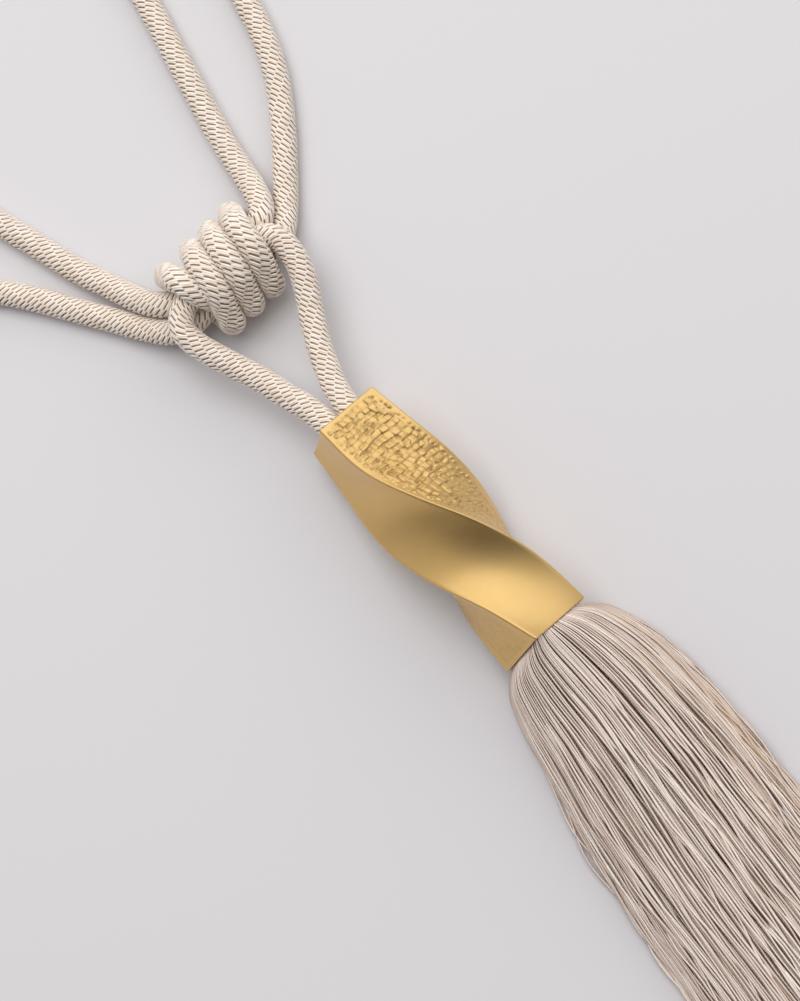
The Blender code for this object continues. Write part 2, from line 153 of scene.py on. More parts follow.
RIGHT_LOOP = (
    (0.0104, KNOT_Y - CORE_SPACING / 2, CORE_Z),
    (0.0164, KNOT_Y - CORE_SPACING / 2, CORE_Z),
    (0.0216, 0.0918, 0.0108),
    (0.0271, 0.0941, 0.0076),
    (0.0332, 0.0999, 0.0050),
    (0.0403, 0.1078, ROPE_RADIUS),
    (0.0466, 0.1150, ROPE_RADIUS),
    (0.0526, 0.1225, ROPE_RADIUS),
    (0.0609, 0.1347, ROPE_RADIUS),
    (0.0667, 0.1475, ROPE_RADIUS),
    (0.0705, 0.1601, ROPE_RADIUS),
    (0.0750, 0.1745, ROPE_RADIUS),
    (0.0820, 0.1902, ROPE_RADIUS),
    (0.0893, 0.2068, ROPE_RADIUS),
    (0.0922, 0.2235, ROPE_RADIUS),
    (0.0873, 0.2377, ROPE_RADIUS),
    (0.0745, 0.2443, ROPE_RADIUS),
    (0.0625, 0.2366, ROPE_RADIUS),
    (0.0562, 0.2214, ROPE_RADIUS),
    (0.0520, 0.2033, ROPE_RADIUS),
    (0.0472, 0.1827, ROPE_RADIUS),
    (0.0400, 0.1557, ROPE_RADIUS),
    (0.0332, 0.1285, ROPE_RADIUS),
    (0.0312, 0.1174, 0.0056),
    (0.0298, 0.1100, 0.0082),
    (0.0277, 0.1042, 0.0106),
    (0.0244, 0.1008, 0.0122),
    (0.0190, KNOT_Y + CORE_SPACING / 2, CORE_Z),
    (0.0114, KNOT_Y + CORE_SPACING / 2, CORE_Z),
)
HANGER = (
    (-LEG_X, 0.0251, 0.0182),
    (-LEG_X, 0.0310, 0.0182),
    (-LEG_X, 0.0368, 0.0181),
    (-0.0052, 0.0451, 0.0172),
    (-0.0074, 0.0531, 0.0163),
    (-0.0096, 0.0619, 0.0157),
    (-0.0124, 0.0701, 0.0161),
    (-0.0151, 0.0780, 0.0174),
    (-0.0169, 0.0849, 0.0188),
    (-0.0165, 0.0907, 0.0198),
    (-0.0122, 0.0949, 0.0197),
    (-0.0056, KNOT_Y, CREST_Z),
    (0.0034, KNOT_Y, CREST_Z),
    (0.0134, KNOT_Y, CREST_Z),
    (0.0197, 0.0951, CREST_Z),
    (0.0241, 0.0914, CREST_Z),
    (0.0246, 0.0853, 0.0184),
    (0.0230, 0.0790, 0.0172),
    (0.0196, 0.0725, 0.0160),
    (0.0152, 0.0656, 0.0155),
    (0.0109, 0.0578, 0.0157),
    (0.0075, 0.0499, 0.0164),
    (0.0053, 0.0434, 0.0173),
    (LEG_X, 0.0368, 0.0181),
    (LEG_X, 0.0310, 0.0182),
    (LEG_X, 0.0251, 0.0182),
)

# --- head -----------------------------------------------------------------------------------------------------
HEAD_LOW, HEAD_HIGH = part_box("head")
HEAD_LENGTH = HEAD_HIGH.y - HEAD_LOW.y
HEAD_AXIS_HEIGHT = (0.0182, 0.0157)  # at the rope end and at the skirt end
HEAD_SECTIONS = (  # share of the length from the rope end, side of the square, degrees that its top leans to +X
    (0.00, 0.0222, 17.7),
    (0.20, 0.0248, 24.8),
    (0.40, 0.0257, 47.6),
    (0.60, 0.0253, 77.6),
    (0.80, 0.0245, 106.4),
    (1.00, 0.0238, 125.5),
)
HEAD_EDGE = 0.0006  # radius of the edges
HAMMERED_HOLLOW = 0.0004  # how far a face curves in at its middle
SMOOTH_HOLLOW = 0.0011
HAMMERED_STEPS = 78
SMOOTH_STEPS = 30
EDGE_STEPS = 4
HEAD_STATIONS = 290
MOUTH_DEPTH = 0.014
MOUTH_WALL = 0.0014
ROPE_HOLE_DEPTH = 0.010
ROPE_HOLE_GAP = 0.0004
END_INSET = 0.0009  # how much smaller the flat of the rope end is than the first section
END_STEP = 0.0002  # share of the length by which it stands before that section

# --- hammering ------------------------------------------------------------------------------------------------
# A pair for a change along the head is where it starts, from the rope end, and the length that it takes.
HAMMER_SEED = 11
ROW_BENDS = (17 * MM, 0.50 * MM)  # wave length and size of the rows' bends
COLUMN_BENDS = (13 * MM, 0.45 * MM)
CELL_HEIGHTS = (1.7 * MM, 2.6 * MM)  # least and most
CELL_WIDTHS = (1.6 * MM, 2.9 * MM)
CELLS_REACH = (-18 * MM, 22 * MM)  # the width that a row of cells spans, more than the face's
CELL_CREST = 0.22 * MM
CELL_LIFT = 0.18 * MM  # most that chance raises or sinks a cell
CELL_SLANTS = (0.66 * MM, 0.60 * MM)  # along the head and across it
GROOVE_REACH = 0.30 * MM
GROOVE_DEPTH = 0.12 * MM
FACE_TURNS = (28 * MM, 20 * MM)  # the beads grow wider and taller where the face turns away
CELLS_END = (36 * MM, 12 * MM)
BEAD_BORDER = (2.3 * MM, 1.4 * MM)  # beads round the cells, from the face's edge inwards
BEAD_COLUMNS = 24
BEAD_PITCH = 1.85 * MM
BEAD_JITTER = 0.32  # share of the pitch by which chance moves a bead
BEAD_SIZES = (0.50, 0.92)  # radii in mm, least and most
BEAD_HEIGHTS = (0.26, 0.58)
BEAD_RING = (1.15, 0.25)  # radius and width of the ring of painted shade round each bead, as shares of the bead's radius
PLAIN_ENDS = (0.7 * MM, 1.2 * MM)
FADES = ((0.4, 44 * MM, 12 * MM), (0.6, 66 * MM, 10 * MM))  # share that the relief loses, and where
RIBS_START = (60 * MM, 10 * MM)
RIB_PITCH = 1.3 * MM
RIB_HEIGHT = 0.07 * MM

# --- skirt ----------------------------------------------------------------------------------------------------
SKIRT_SEED = 3
LOCK_SEED = 5
SKIRT_LENGTH = 0.155
SPREAD_END = 0.009
SKIRT_SECTIONS = (  # distance past the mouth, half width, height, drift along X
    (0.000, 0.0190, 0.0275, -0.0008),
    (0.016, 0.0250, 0.0250, -0.0010),
    (0.030, 0.0275, 0.0232, -0.0016),
    (0.057, 0.0309, 0.0198, -0.0049),
    (0.085, 0.0325, 0.0172, -0.0090),
    (0.112, 0.0330, 0.0152, -0.0123),
    (0.160, 0.0335, 0.0135, -0.0178),
)
GATHER = 18.0  # share by which the threads draw together, for each metre into the mouth
SKIRT_LAYERS = 4
LAYER_STEP = 0.06  # how much smaller each layer is than the one over it
LAYER_THREADS = 76
SKIRT_HALF_ANGLE = 1.53  # of the arc that the layers cover
CORE_THREADS = 320
TOP_THREADS = 60  # more of them over the top, loosely combed
STRAY_THREADS = 36
EDGE_COLUMN = 0.995  # the outermost place of a thread, as a share of the half width
SIDE_WAVES = ((0.0011, 0.075), (0.00036, 0.024))  # size and length of a thread's bends sideways
LIFT_WAVE = (0.0007, 0.060)
LOCK_WAVE = (0.0004, 0.021)  # bends that neighbouring threads share
THREAD_RADIUS = 0.00040
THREAD_SIDES = 5
THREAD_STATIONS = (
    *(-0.0045, -0.0020, 0.0000, 0.0012, 0.0025, 0.0040, 0.0057, 0.0077, 0.0100, 0.0128, 0.0160, 0.0198, 0.0240),
    *np.arange(0.028, SKIRT_LENGTH - 0.002, 0.0040),
    SKIRT_LENGTH,
)

# --- setting --------------------------------------------------------------------------------------------------
KEY_LIGHT = ((0.95, 0.45, 1.05), 2.1, 8.2)  # place, width and power
OVERHEAD_LIGHT = ((0.05, 0.55, 1.40), 1.3, 13.0)
# each a direction in the room, two cosines to it and the strengths at them
BRIGHT_SIDE = ((0.35, 0.70, 0.62), (-0.7, 0.9, 0.27, 0.64))
DARK_PATCH = ((-0.35, -0.47, 0.80), (0.78, 0.97, 1.0, 0.30))  # what the smooth gold face reflects
ROOM_COLOUR = (1.0, 0.98, 0.985, 1.0)
FLOOR_COLOUR = (0.65, 0.636, 0.65, 1.0)
FLOOR_REACH = 3.0


# --- helpers --------------------------------------------------------------------------------------------------
def smoothstep(value):
    value = np.clip(value, 0.0, 1.0)
    return value * value * (3 - 2 * value)


def eased(place, start, length):
    """From 0 at start to 1 at length past it."""
    return smoothstep((place - start) / length)


def from_table(table, place):
    """The table's other columns at place, eased between the rows on either side of it."""
    rows = [r for r in table if r[0] <= place] or [table[0]]
    low = rows[-1]
    high = table[min(table.index(low) + 1, len(table) - 1)]
    before = table[max(table.index(low) - 1, 0)]
    after = table[min(table.index(high) + 1, len(table) - 1)]
    if high is low:
        return low[1:]
    share = max(0.0, (place - low[0]) / (high[0] - low[0]))
    values = []
    for a, b, c, d in zip(before[1:], low[1:], high[1:], after[1:]):
        slope_in = (c - a) * (high[0] - low[0]) / max(high[0] - before[0], 1e-9)
        slope_out = (d - b) * (high[0] - low[0]) / max(after[0] - low[0], 1e-9)
        s2, s3 = share**2, share**3
        values.append(
            b * (2 * s3 - 3 * s2 + 1)
            + slope_in * (s3 - 2 * s2 + share)
            + c * (3 * s2 - 2 * s3)
            + slope_out * (s3 - s2)
        )
    return values


def add_mesh(name, points, faces, material, numbers=None, corners=None):
    """A smooth mesh piece. numbers are floats for each point, corners a pair for each corner of each face."""
    mesh = bpy.data.meshes.new(name)
    mesh.from_pydata(np.asarray(points).tolist(), [], faces)
    for key, values in (numbers or {}).items():
        attribute = mesh.attributes.new(key, "FLOAT", "POINT")
        attribute.data.foreach_set("value", np.asarray(values, np.float32))
    if corners is not None:
        layer = mesh.uv_layers.new(name="lay")
        layer.data.foreach_set("uv", np.asarray(corners, np.float32).ravel())
    mesh.shade_smooth()
    mesh.materials.append(material)
    obj = bpy.data.objects.new(name, mesh)
    bpy.context.scene.collection.objects.link(obj)
    return obj


def ring_faces(rings, ring):
    """Quads between rings of points that follow one another, with the winding that faces out."""
    r = np.arange(rings - 1)[:, None] * ring
    i = np.arange(ring)[None, :]
    n = (i + 1) % ring
    return np.stack([r + i, r + n, r + ring + n, r + ring + i], axis=-1).reshape(-1, 4)


# --- materials ------------------------------------------------------------------------------------------------
class Shader:
    """A material's node tree with short calls for the nodes used here."""

    def __init__(self, name):
        self.material = bpy.data.materials.new(name)
        self.material.use_nodes = True
        self.tree = self.material.node_tree
        self.surface = self.tree.nodes["Principled BSDF"]

    def node(self, kind, **values):
        made = self.tree.nodes.new(kind)
        for key, value in values.items():
            setattr(made, key, value)
        return made

    def link(self, source, target):
        self.tree.links.new(source, target)

    def number(self, attribute):
        return self.node("ShaderNodeAttribute", attribute_name=attribute).outputs["Fac"]

    def math(self, operation, a, b=0.0):
        made = self.node("ShaderNodeMath", operation=operation)
        for socket, value in zip(made.inputs, (a, b)):
            if isinstance(value, (int, float)):
                socket.default_value = value
            else:
                self.link(value, socket)
        return made.outputs[0]

    def noise(self, scale, detail=2.0, vector=None):
        made = self.node("ShaderNodeTexNoise")
        made.inputs["Scale"].default_value = scale
        made.inputs["Detail"].default_value = detail
        place = vector or self.node("ShaderNodeTexCoord").outputs["Object"]
        self.link(place, made.inputs["Vector"])
        return made.outputs["Fac"]

    def blend(self, factor, low, high):
        made = self.node("ShaderNodeMix", data_type="RGBA")
        self.link(factor, made.inputs["Factor"])
        for socket, value in ((made.inputs[6], low), (made.inputs[7], high)):
            if isinstance(value, tuple):
                socket.default_value = (*value, 1.0)
            else:
                self.link(value, socket)
        return made.outputs[2]

    def spread(self, factor, low, high, new_low=0.0, new_high=1.0):
        made = self.node("ShaderNodeMapRange")
        self.link(factor, made.inputs["Value"])
        for key, value in zip(("From Min", "From Max", "To Min", "To Max"), (low, high, new_low, new_high)):
            made.inputs[key].default_value = value
        return made.outputs["Result"]

    def bump(self, height, distance):
        made = self.node("ShaderNodeBump")
        made.inputs["Distance"].default_value = distance
        made.inputs["Strength"].default_value = 1.0
        self.link(height, made.inputs["Height"])
        self.link(made.outputs["Normal"], self.surface.inputs["Normal"])

    def set(self, **values):
        for key, value in values.items():
            self.surface.inputs[key.replace("_", " ")].default_value = value


def rope_material():
    """Pale laid viscose yarn, with painted brown shade in the slits between the strands, which the lay's
    coordinates place, and in the lines between the yarns.
    """
    shader = Shader("rope_yarn")
    shader.set(Roughness=0.62, Sheen_Weight=0.25, Sheen_Roughness=0.45, Specular_IOR_Level=0.35)
    lay = shader.node("ShaderNodeUVMap", uv_map="lay").outputs["UV"]
    split = shader.node("ShaderNodeSeparateXYZ")
    shader.link(lay, split.inputs[0])
    column, strand = split.outputs["X"], split.outputs["Y"]
    row = shader.math("FLOOR", column)
    along = shader.math("SUBTRACT", column, row)
    shift = shader.math("MULTIPLY", shader.math("FLOORED_MODULO", row, 2.0), 0.5)
    across = shader.math("FRACT", shader.math("ADD", strand, shift))
    from_slit = shader.math("MINIMUM", across, shader.math("SUBTRACT", 1.0, across))
    slit = shader.spread(from_slit, 0.06, 0.16, 1.0, 0.0)
    for low, high in ((0.0, 0.10), (1.0, 0.90)):
        slit = shader.math("MULTIPLY", slit, shader.spread(along, low, high))
    yarns = shader.math("SINE", shader.math("MULTIPLY", strand, 2 * math.pi * 3))
    cloud = shader.spread(shader.noise(260.0, 3.0), 0.3, 0.7)
    pale = shader.blend(cloud, (0.88, 0.755, 0.635), (0.99, 0.90, 0.805))
    # painted shade: dark lines between the yarns
    yarn_gap_shaded = shader.blend(shader.spread(yarns, -1.0, -0.1, 0.50, 0.0), pale, (0.50, 0.38, 0.28))
    # painted shade: the slits between the strands are coloured dark brown
    shader.link(shader.blend(slit, yarn_gap_shaded, (0.26, 0.17, 0.10)), shader.surface.inputs["Base Color"])
    height = shader.math("SUBTRACT", shader.math("MULTIPLY", yarns, 0.12), slit)
    shader.bump(height, 0.0003)
    return shader.material


def gold_material():
    """Satin gold, with painted shade that darkens the hollows of the hammering."""
    shader = Shader("satin_gold")
    shader.set(Metallic=1.0, Coat_Weight=0.3, Coat_Roughness=0.30)
    cloud = shader.spread(shader.noise(45.0, 3.0), 0.3, 0.7)
    clean = shader.blend(cloud, (0.735, 0.48, 0.175), (0.80, 0.545, 0.215))
    # painted shade: the groove number darkens the gold in the hammering's hollows
    groove = shader.spread(shader.number("groove"), 0.0, 1.0, 0.0, 0.44)
    shader.link(shader.blend(groove, clean, (0.42, 0.25, 0.075)), shader.surface.inputs["Base Color"])
    rough = shader.spread(shader.noise(900.0, 2.0), 0.3, 0.7, 0.37, 0.42)
    shader.link(rough, shader.surface.inputs["Roughness"])
    shader.bump(shader.noise(1800.0, 2.0), 0.000012)
    return shader.material


def thread_material():
    """Lustrous twisted thread, each one of its own tone, with painted shade on its flanks and on the deeper
    layers, and a painted highlight along its top.
    """
    shader = Shader("skirt_thread")
    shader.set(Roughness=0.36, Specular_IOR_Level=0.7)
    tone_and_depth_shade = shader.number("tone_and_depth_shade")
    # painted shade: a thread's flanks are darker than its top
    shaded_flank = shader.blend(tone_and_depth_shade, (0.25, 0.15, 0.105), (0.50, 0.345, 0.26))
    top = shader.blend(tone_and_depth_shade, (0.74, 0.58, 0.48), (1.0, 0.94, 0.87))
    pale = shader.blend(shader.number("painted_top_highlight"), shaded_flank, top)
    tan = shader.blend(shader.number("tan"), pale, (0.60, 0.44, 0.29))
    shader.link(tan, shader.surface.inputs["Base Color"])
    return shader.material


# --- ropes ----------------------------------------------------------------------------------------------------
def smooth_route(route, fine=60):
    """Points along a smooth curve through every point of the route."""
    points = np.array(route, float)
    ends = np.vstack([2 * points[0] - points[1], points, 2 * points[-1] - points[-2]])
    curve = []
    for p0, p1, p2, p3 in zip(ends, ends[1:], ends[2:], ends[3:]):
        t1 = np.linalg.norm(p1 - p0) ** 0.5
        t2 = t1 + np.linalg.norm(p2 - p1) ** 0.5
        t3 = t2 + np.linalg.norm(p3 - p2) ** 0.5
        t = (t1 + (t2 - t1) * np.arange(fine) / fine)[:, None]
        a1 = p0 * ((t1 - t) / t1) + p1 * (t / t1)
        a2 = p1 * ((t2 - t) / (t2 - t1)) + p2 * ((t - t1) / (t2 - t1))
        a3 = p2 * ((t3 - t) / (t3 - t2)) + p3 * ((t - t2) / (t3 - t2))
        b1 = a1 * ((t2 - t) / t2) + a2 * (t / t2)
        b2 = a2 * ((t3 - t) / (t3 - t1)) + a3 * ((t - t1) / (t3 - t1))
        curve.append(b1 * ((t2 - t) / (t2 - t1)) + b2 * ((t - t1) / (t2 - t1)))
    return np.vstack([*curve, points[-1:]])


def spaced(points, step, *columns):
    """The polyline at even steps of its length, and columns of numbers at the same places."""
    run = np.concatenate([[0.0], np.cumsum(np.linalg.norm(np.diff(points, axis=0), axis=1))])
    places = np.linspace(0.0, run[-1], round(run[-1] / step) + 1)
    even = [np.interp(places, run, column) for column in (*points.T, *columns)]
    return places, np.array(even[:3]).T, *even[3:]


def carried_frames(points):
    """Unit vectors across and along the path that turn as little as the path allows."""
    along = np.gradient(points, axis=0)
    along /= np.linalg.norm(along, axis=1)[:, None]
    across = np.empty_like(along)
    start = np.cross(along[0], (0.0, 0.0, 1.0))
    if np.linalg.norm(start) < 0.1:
        start = np.cross(along[0], (1.0, 0.0, 0.0))
    across[0] = start / np.linalg.norm(start)
    for i in range(1, len(points)):
        turned = across[i - 1] - along[i] * (across[i - 1] @ along[i])
        across[i] = turned / np.linalg.norm(turned)
    return across, np.cross(along, across)


def rope_relief(column, strand):
    """How high the yarn stands at this place in the lay."""
    row = np.floor(column)
    along = column - row
    across = (strand + 0.5 * (row % 2)) % 1.0
    from_slit = 2 * np.minimum(across, 1 - across)
    open_part = smoothstep(along / 0.26 + 0.2) * smoothstep((1 - along) / 0.26 + 0.2)
    slit = open_part * np.exp(-((from_slit / 0.26) ** 2))
    crown = PAD_CROWN * (1 - (1 - from_slit) ** 2 * open_part)
    return ROPE_RISE + crown - PAD_CROWN - SLIT_DEPTH * slit


def add_rope(name, points, radii, material):
    """A laid rope swept along the points. Its rings turn with the strands, so that edges follow the slits."""
    places, centres, radius = spaced(points, RING_STEP, radii)
    across, up = carried_frames(centres)
    turn = np.arange(RING_POINTS + 1) / RING_POINTS
    strand = ROPE_STRANDS * turn[None, :] + 0 * places[:, None]
    column = places[:, None] / COLUMN_LENGTH - ROPE_COLUMNS * turn[None, :]
    height = rope_relief(column, strand)
    angle = 2 * math.pi * (turn[None, :-1] - places[:, None] / ROPE_LAY)
    ends = np.minimum(places, places[-1] - places)
    rounding = END_ROUNDING * (1 - np.sqrt(1 - (1 - np.clip(ends / END_ROUNDING, 0, 1)) ** 2))
    reach = radius[:, None] - rounding[:, None] + height[:, :-1]
    outward = across[:, None] * np.cos(angle)[..., None] + up[:, None] * np.sin(angle)[..., None]
    surface = centres[:, None] + outward * reach[..., None]
    surface[..., 2] = np.maximum(surface[..., 2], FLOOR_GAP)
    rings = len(places)
    faces = ring_faces(rings, RING_POINTS)[:, ::-1]
    lay = np.stack([column, strand], axis=-1)
    low, high = lay[:-1], lay[1:]
    corners = np.stack([high[:, :-1], high[:, 1:], low[:, 1:], low[:, :-1]], axis=2)
    last = (rings - 1) * RING_POINTS
    caps = [list(range(RING_POINTS)), list(range(last + RING_POINTS - 1, last - 1, -1))]
    corners = np.vstack([corners.reshape(-1, 2), np.zeros((2 * RING_POINTS, 2))])
    obj = add_mesh(name, surface.reshape(-1, 3), faces.tolist() + caps, material, corners=corners)
    return obj, centres


def core_or_full(points):
    """The rope's radius: squeezed inside the knot, full outside."""
    away_x = np.abs(points[:, 0] - KNOT_X) - KNOT_HALF_LENGTH
    away_y = np.abs(points[:, 1] - KNOT_Y) - KNOT_HALF_WIDTH
    away = np.maximum(np.maximum(away_x, away_y), 0.0)
    return CORE_RADIUS + (ROPE_RADIUS - CORE_RADIUS) * eased(away, 0.0, SQUEEZE_END)


def declare_cord(obj, node):
    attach(obj, "root")
    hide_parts(node)


def build_embrace(material):
    """From the middle of the knot through the left loop, back through the knot and through the right loop."""
    start = (KNOT_X - BUTT_GAP, KNOT_Y + CORE_SPACING / 2, CORE_Z)
    end = (KNOT_X + BUTT_GAP, KNOT_Y + CORE_SPACING / 2, CORE_Z)
    through = (KNOT_X, KNOT_Y - CORE_SPACING / 2, CORE_Z)
    points = smooth_route((start, *LEFT_LOOP, through, *RIGHT_LOOP, end))
    points[:, 2] = np.maximum(points[:, 2], ROPE_RADIUS)
    obj, centres = add_rope("embrace", points, core_or_full(points), material)
    declare_cord(obj, "embrace_rope")


def build_hanger(material):
    """Up one leg from the head, through the knot and down the other leg."""
    points = smooth_route(HANGER)
    obj, centres = add_rope("hanger", points, core_or_full(points), material)
    declare_cord(obj, "hanger_rope")


def turn_outline(samples=720):
    """(y, z) points round the three core ropes at the turns' distance, evenly spaced from the underside."""
    corners = (
        (CORE_SPACING / 2, CORE_Z, -90),
        (0.0, CREST_Z, 30),
        (-CORE_SPACING / 2, CORE_Z, 150),
    )
    loop = [(0.0, CORE_Z - TURN_OFFSET)]
    for y, z, start in corners:
        for i in range(25):
            angle = math.radians(start + 5 * i)
            loop.append((y + TURN_OFFSET * math.cos(angle), z + TURN_OFFSET * math.sin(angle)))
    loop.append(loop[0])
    loop = np.array(loop)
    run = np.concatenate([[0.0], np.cumsum(np.linalg.norm(np.diff(loop, axis=0), axis=1))])
    places = run[-1] * np.arange(samples + 1) / samples
    return np.interp(places, run, loop[:, 0]), np.interp(places, run, loop[:, 1])


def build_knot(material):
    """The turns round the other two ropes, from under the knot to where the last one tucks in."""
    y, z = turn_outline()
    samples = len(y) - 1
    turns = np.linspace(TURN_DRIFT[0][0], TURN_DRIFT[-1][0], 1200)
    drift = np.array([from_table(TURN_DRIFT, t) for t in turns])
    place = (turns * samples) % samples
    steps = np.arange(samples + 1)
    closer = 1 - TUCK * eased(turns, TUCK_START, turns[-1] - TUCK_START)
    y, z = np.interp(place, steps, y) * closer, CORE_Z + (np.interp(place, steps, z) - CORE_Z) * closer
    points = np.stack([drift[:, 0], KNOT_Y + y, z], axis=1)
    obj, centres = add_rope("knot", points, drift[:, 1] * TURN_FULLNESS, material)
    declare_cord(obj, "knot_rope")


# --- head -----------------------------------------------------------------------------------------------------
def head_rows():
    """Share of the head's length, the square's side and the face's lean at each station of the skin."""
    shares = np.linspace(0.0, 1.0, HEAD_STATIONS)
    table = np.array([from_table(HEAD_SECTIONS, share) for share in shares])
    return shares, table[:, 0], np.radians(table[:, 1])


def to_world(shares, angles, across, up):
    """Points that lie across and up from the head's axis in its turned square, one row for each station."""
    cosine, sine = np.cos(angles)[:, None], np.sin(angles)[:, None]
    top, bottom = HEAD_AXIS_HEIGHT
    x = across * cosine + up * sine
    y = HEAD_HIGH.y - HEAD_LENGTH * shares[:, None] + 0 * x
    z = (top + (bottom - top) * shares)[:, None] + up * cosine - across * sine
    return np.stack([x, y, z], axis=-1)


def face_profile(quarter):
    """Places across one face and its edge, from -1 to 1 along the flat, and the edge's turn from 0 to 1."""
    steps = HAMMERED_STEPS if quarter % 2 == 0 else SMOOTH_STEPS
    flat = np.linspace(-1.0, 1.0, steps + 1)
    edge = np.arange(1, EDGE_STEPS) / EDGE_STEPS
    return np.concatenate([flat, np.ones(len(edge))]), np.concatenate([0 * flat, edge])


def square_rings(sides, radius, hammered_hollow, smooth_hollow, relief=None):
    """(stations, points) arrays of across and up round the square, and the groove number, the relief's painted
    shade, at each point.
    """
    across_parts, up_parts, groove_parts = [], [], []
    for quarter in range(4):
        flat, turn = face_profile(quarter)
        half = sides[:, None] / 2
        bend = turn[None, :] * math.pi / 2
        hollow = hammered_hollow if quarter % 2 == 0 else smooth_hollow
        across = flat[None, :] * (half - radius) + radius * np.sin(bend)
        up = half - radius + radius * np.cos(bend) - hollow * (1 - flat[None, :] ** 2)
        groove = np.zeros(across.shape)
        if relief is not None and quarter % 2 == 0:
            height, groove = relief(across, quarter)
            inside = turn == 0
            up = up + height * inside
            groove = groove * inside
        angle = math.pi / 2 * quarter
        across_parts.append(across * math.cos(angle) + up * math.sin(angle))
        up_parts.append(up * math.cos(angle) - across * math.sin(angle))
        groove_parts.append(groove)
    return tuple(np.concatenate(parts, axis=1) for parts in (across_parts, up_parts, groove_parts))


def edges_with_chance(chance, length, least, most):
    """Places of cell edges along a length, between the least and the most apart."""
    count = int(length / least) + 2
    return np.cumsum(chance.uniform(least, most, count)) - most


def wobble(chance, a, b, wave, size):
    """A soft random field over a and b, as a sum of waves about wave long."""
    total = np.zeros(np.broadcast(a, b).shape)
    for _ in range(6):
        direction = chance.uniform(0, 2 * math.pi)
        length = wave * chance.uniform(0.6, 1.6)
        phase = chance.uniform(0, 2 * math.pi)
        total += np.sin(2 * math.pi / length * (a * math.cos(direction) + b * math.sin(direction)) + phase)
    return size * total / 6**0.5


def hammered_cells(chance, a, b):
    """Height of the cells at a across and b along the face, how deep in a groove, and a chance for each cell."""
    rows = edges_with_chance(chance, HEAD_LENGTH + 8 * MM, *CELL_HEIGHTS)
    row = np.clip(np.searchsorted(rows, b.ravel()).reshape(b.shape), 1, len(rows) - 1)
    low_b, high_b = rows[row - 1], rows[row]
    left, right = CELLS_REACH
    columns = np.stack([left + edges_with_chance(chance, right - left, *CELL_WIDTHS) for _ in rows])
    cell = np.clip((a[..., None] - columns[row] > 0).sum(axis=-1), 1, columns.shape[1] - 1)
    low_a = np.take_along_axis(columns[row], cell[..., None] - 1, -1)[..., 0]
    high_a = np.take_along_axis(columns[row], cell[..., None], -1)[..., 0]
    share_a = (a - low_a) / (high_a - low_a)
    share_b = (b - low_b) / (high_b - low_b)
    chances = chance.uniform(-1, 1, (len(rows), columns.shape[1], 3))[row, cell]
    lift, slant_b, slant_a = np.moveaxis(chances, -1, 0)
    to_edge = np.minimum(
        np.minimum(share_a, 1 - share_a) * (high_a - low_a),
        np.minimum(share_b, 1 - share_b) * (high_b - low_b),
    )
    # the cells' edges, sunk in the relief and also given painted shade
    groove = 1 - eased(to_edge, 0.0, GROOVE_REACH)
    height = CELL_CREST * (1 - (2 * share_a - 1) ** 4 / 2 - (2 * share_b - 1) ** 4 / 2)
    height += CELL_LIFT * lift - GROOVE_DEPTH * groove
    height += CELL_SLANTS[0] * (share_b - 0.5) * (0.4 + slant_b)
    height += CELL_SLANTS[1] * (share_a - 0.5) * slant_a
    return height, groove, slant_b


def beads(chance, a, b):
    """Small round domes scattered over the face: their height, and the ring of painted shade round each."""
    count_a, count_b = BEAD_COLUMNS, int(HEAD_LENGTH / BEAD_PITCH) + 3
    jitter = chance.uniform(-BEAD_JITTER, BEAD_JITTER, (count_a, count_b, 2)) * BEAD_PITCH
    ring_radius, ring_width = BEAD_RING
    size = chance.uniform(*BEAD_SIZES, (count_a, count_b)) * MM
    rise = chance.uniform(*BEAD_HEIGHTS, (count_a, count_b)) * MM
    i = np.floor(a / BEAD_PITCH + 0 * b).astype(int) + count_a // 2
    j = np.floor(b / BEAD_PITCH + 0 * a).astype(int) + 1
    height = np.zeros(i.shape)
    from_ring = np.full(i.shape, np.inf)
    for di in (-1, 0, 1):
        for dj in (-1, 0, 1):
            ci = np.clip(i + di, 0, count_a - 1)
            cj = np.clip(j + dj, 0, count_b - 1)
            x = (ci - count_a // 2 + 0.5) * BEAD_PITCH + jitter[ci, cj, 0]
            y = (cj - 1 + 0.5) * BEAD_PITCH + jitter[ci, cj, 1]
            away = np.sqrt((a - x) ** 2 + (b - y) ** 2) / size[ci, cj]
            height = np.maximum(height, rise[ci, cj] * np.clip(1 - away**2, 0, 1) ** 0.8)
            from_ring = np.minimum(from_ring, np.abs(away - ring_radius))
    return height, 0.5 * np.exp(-((from_ring / ring_width) ** 2))


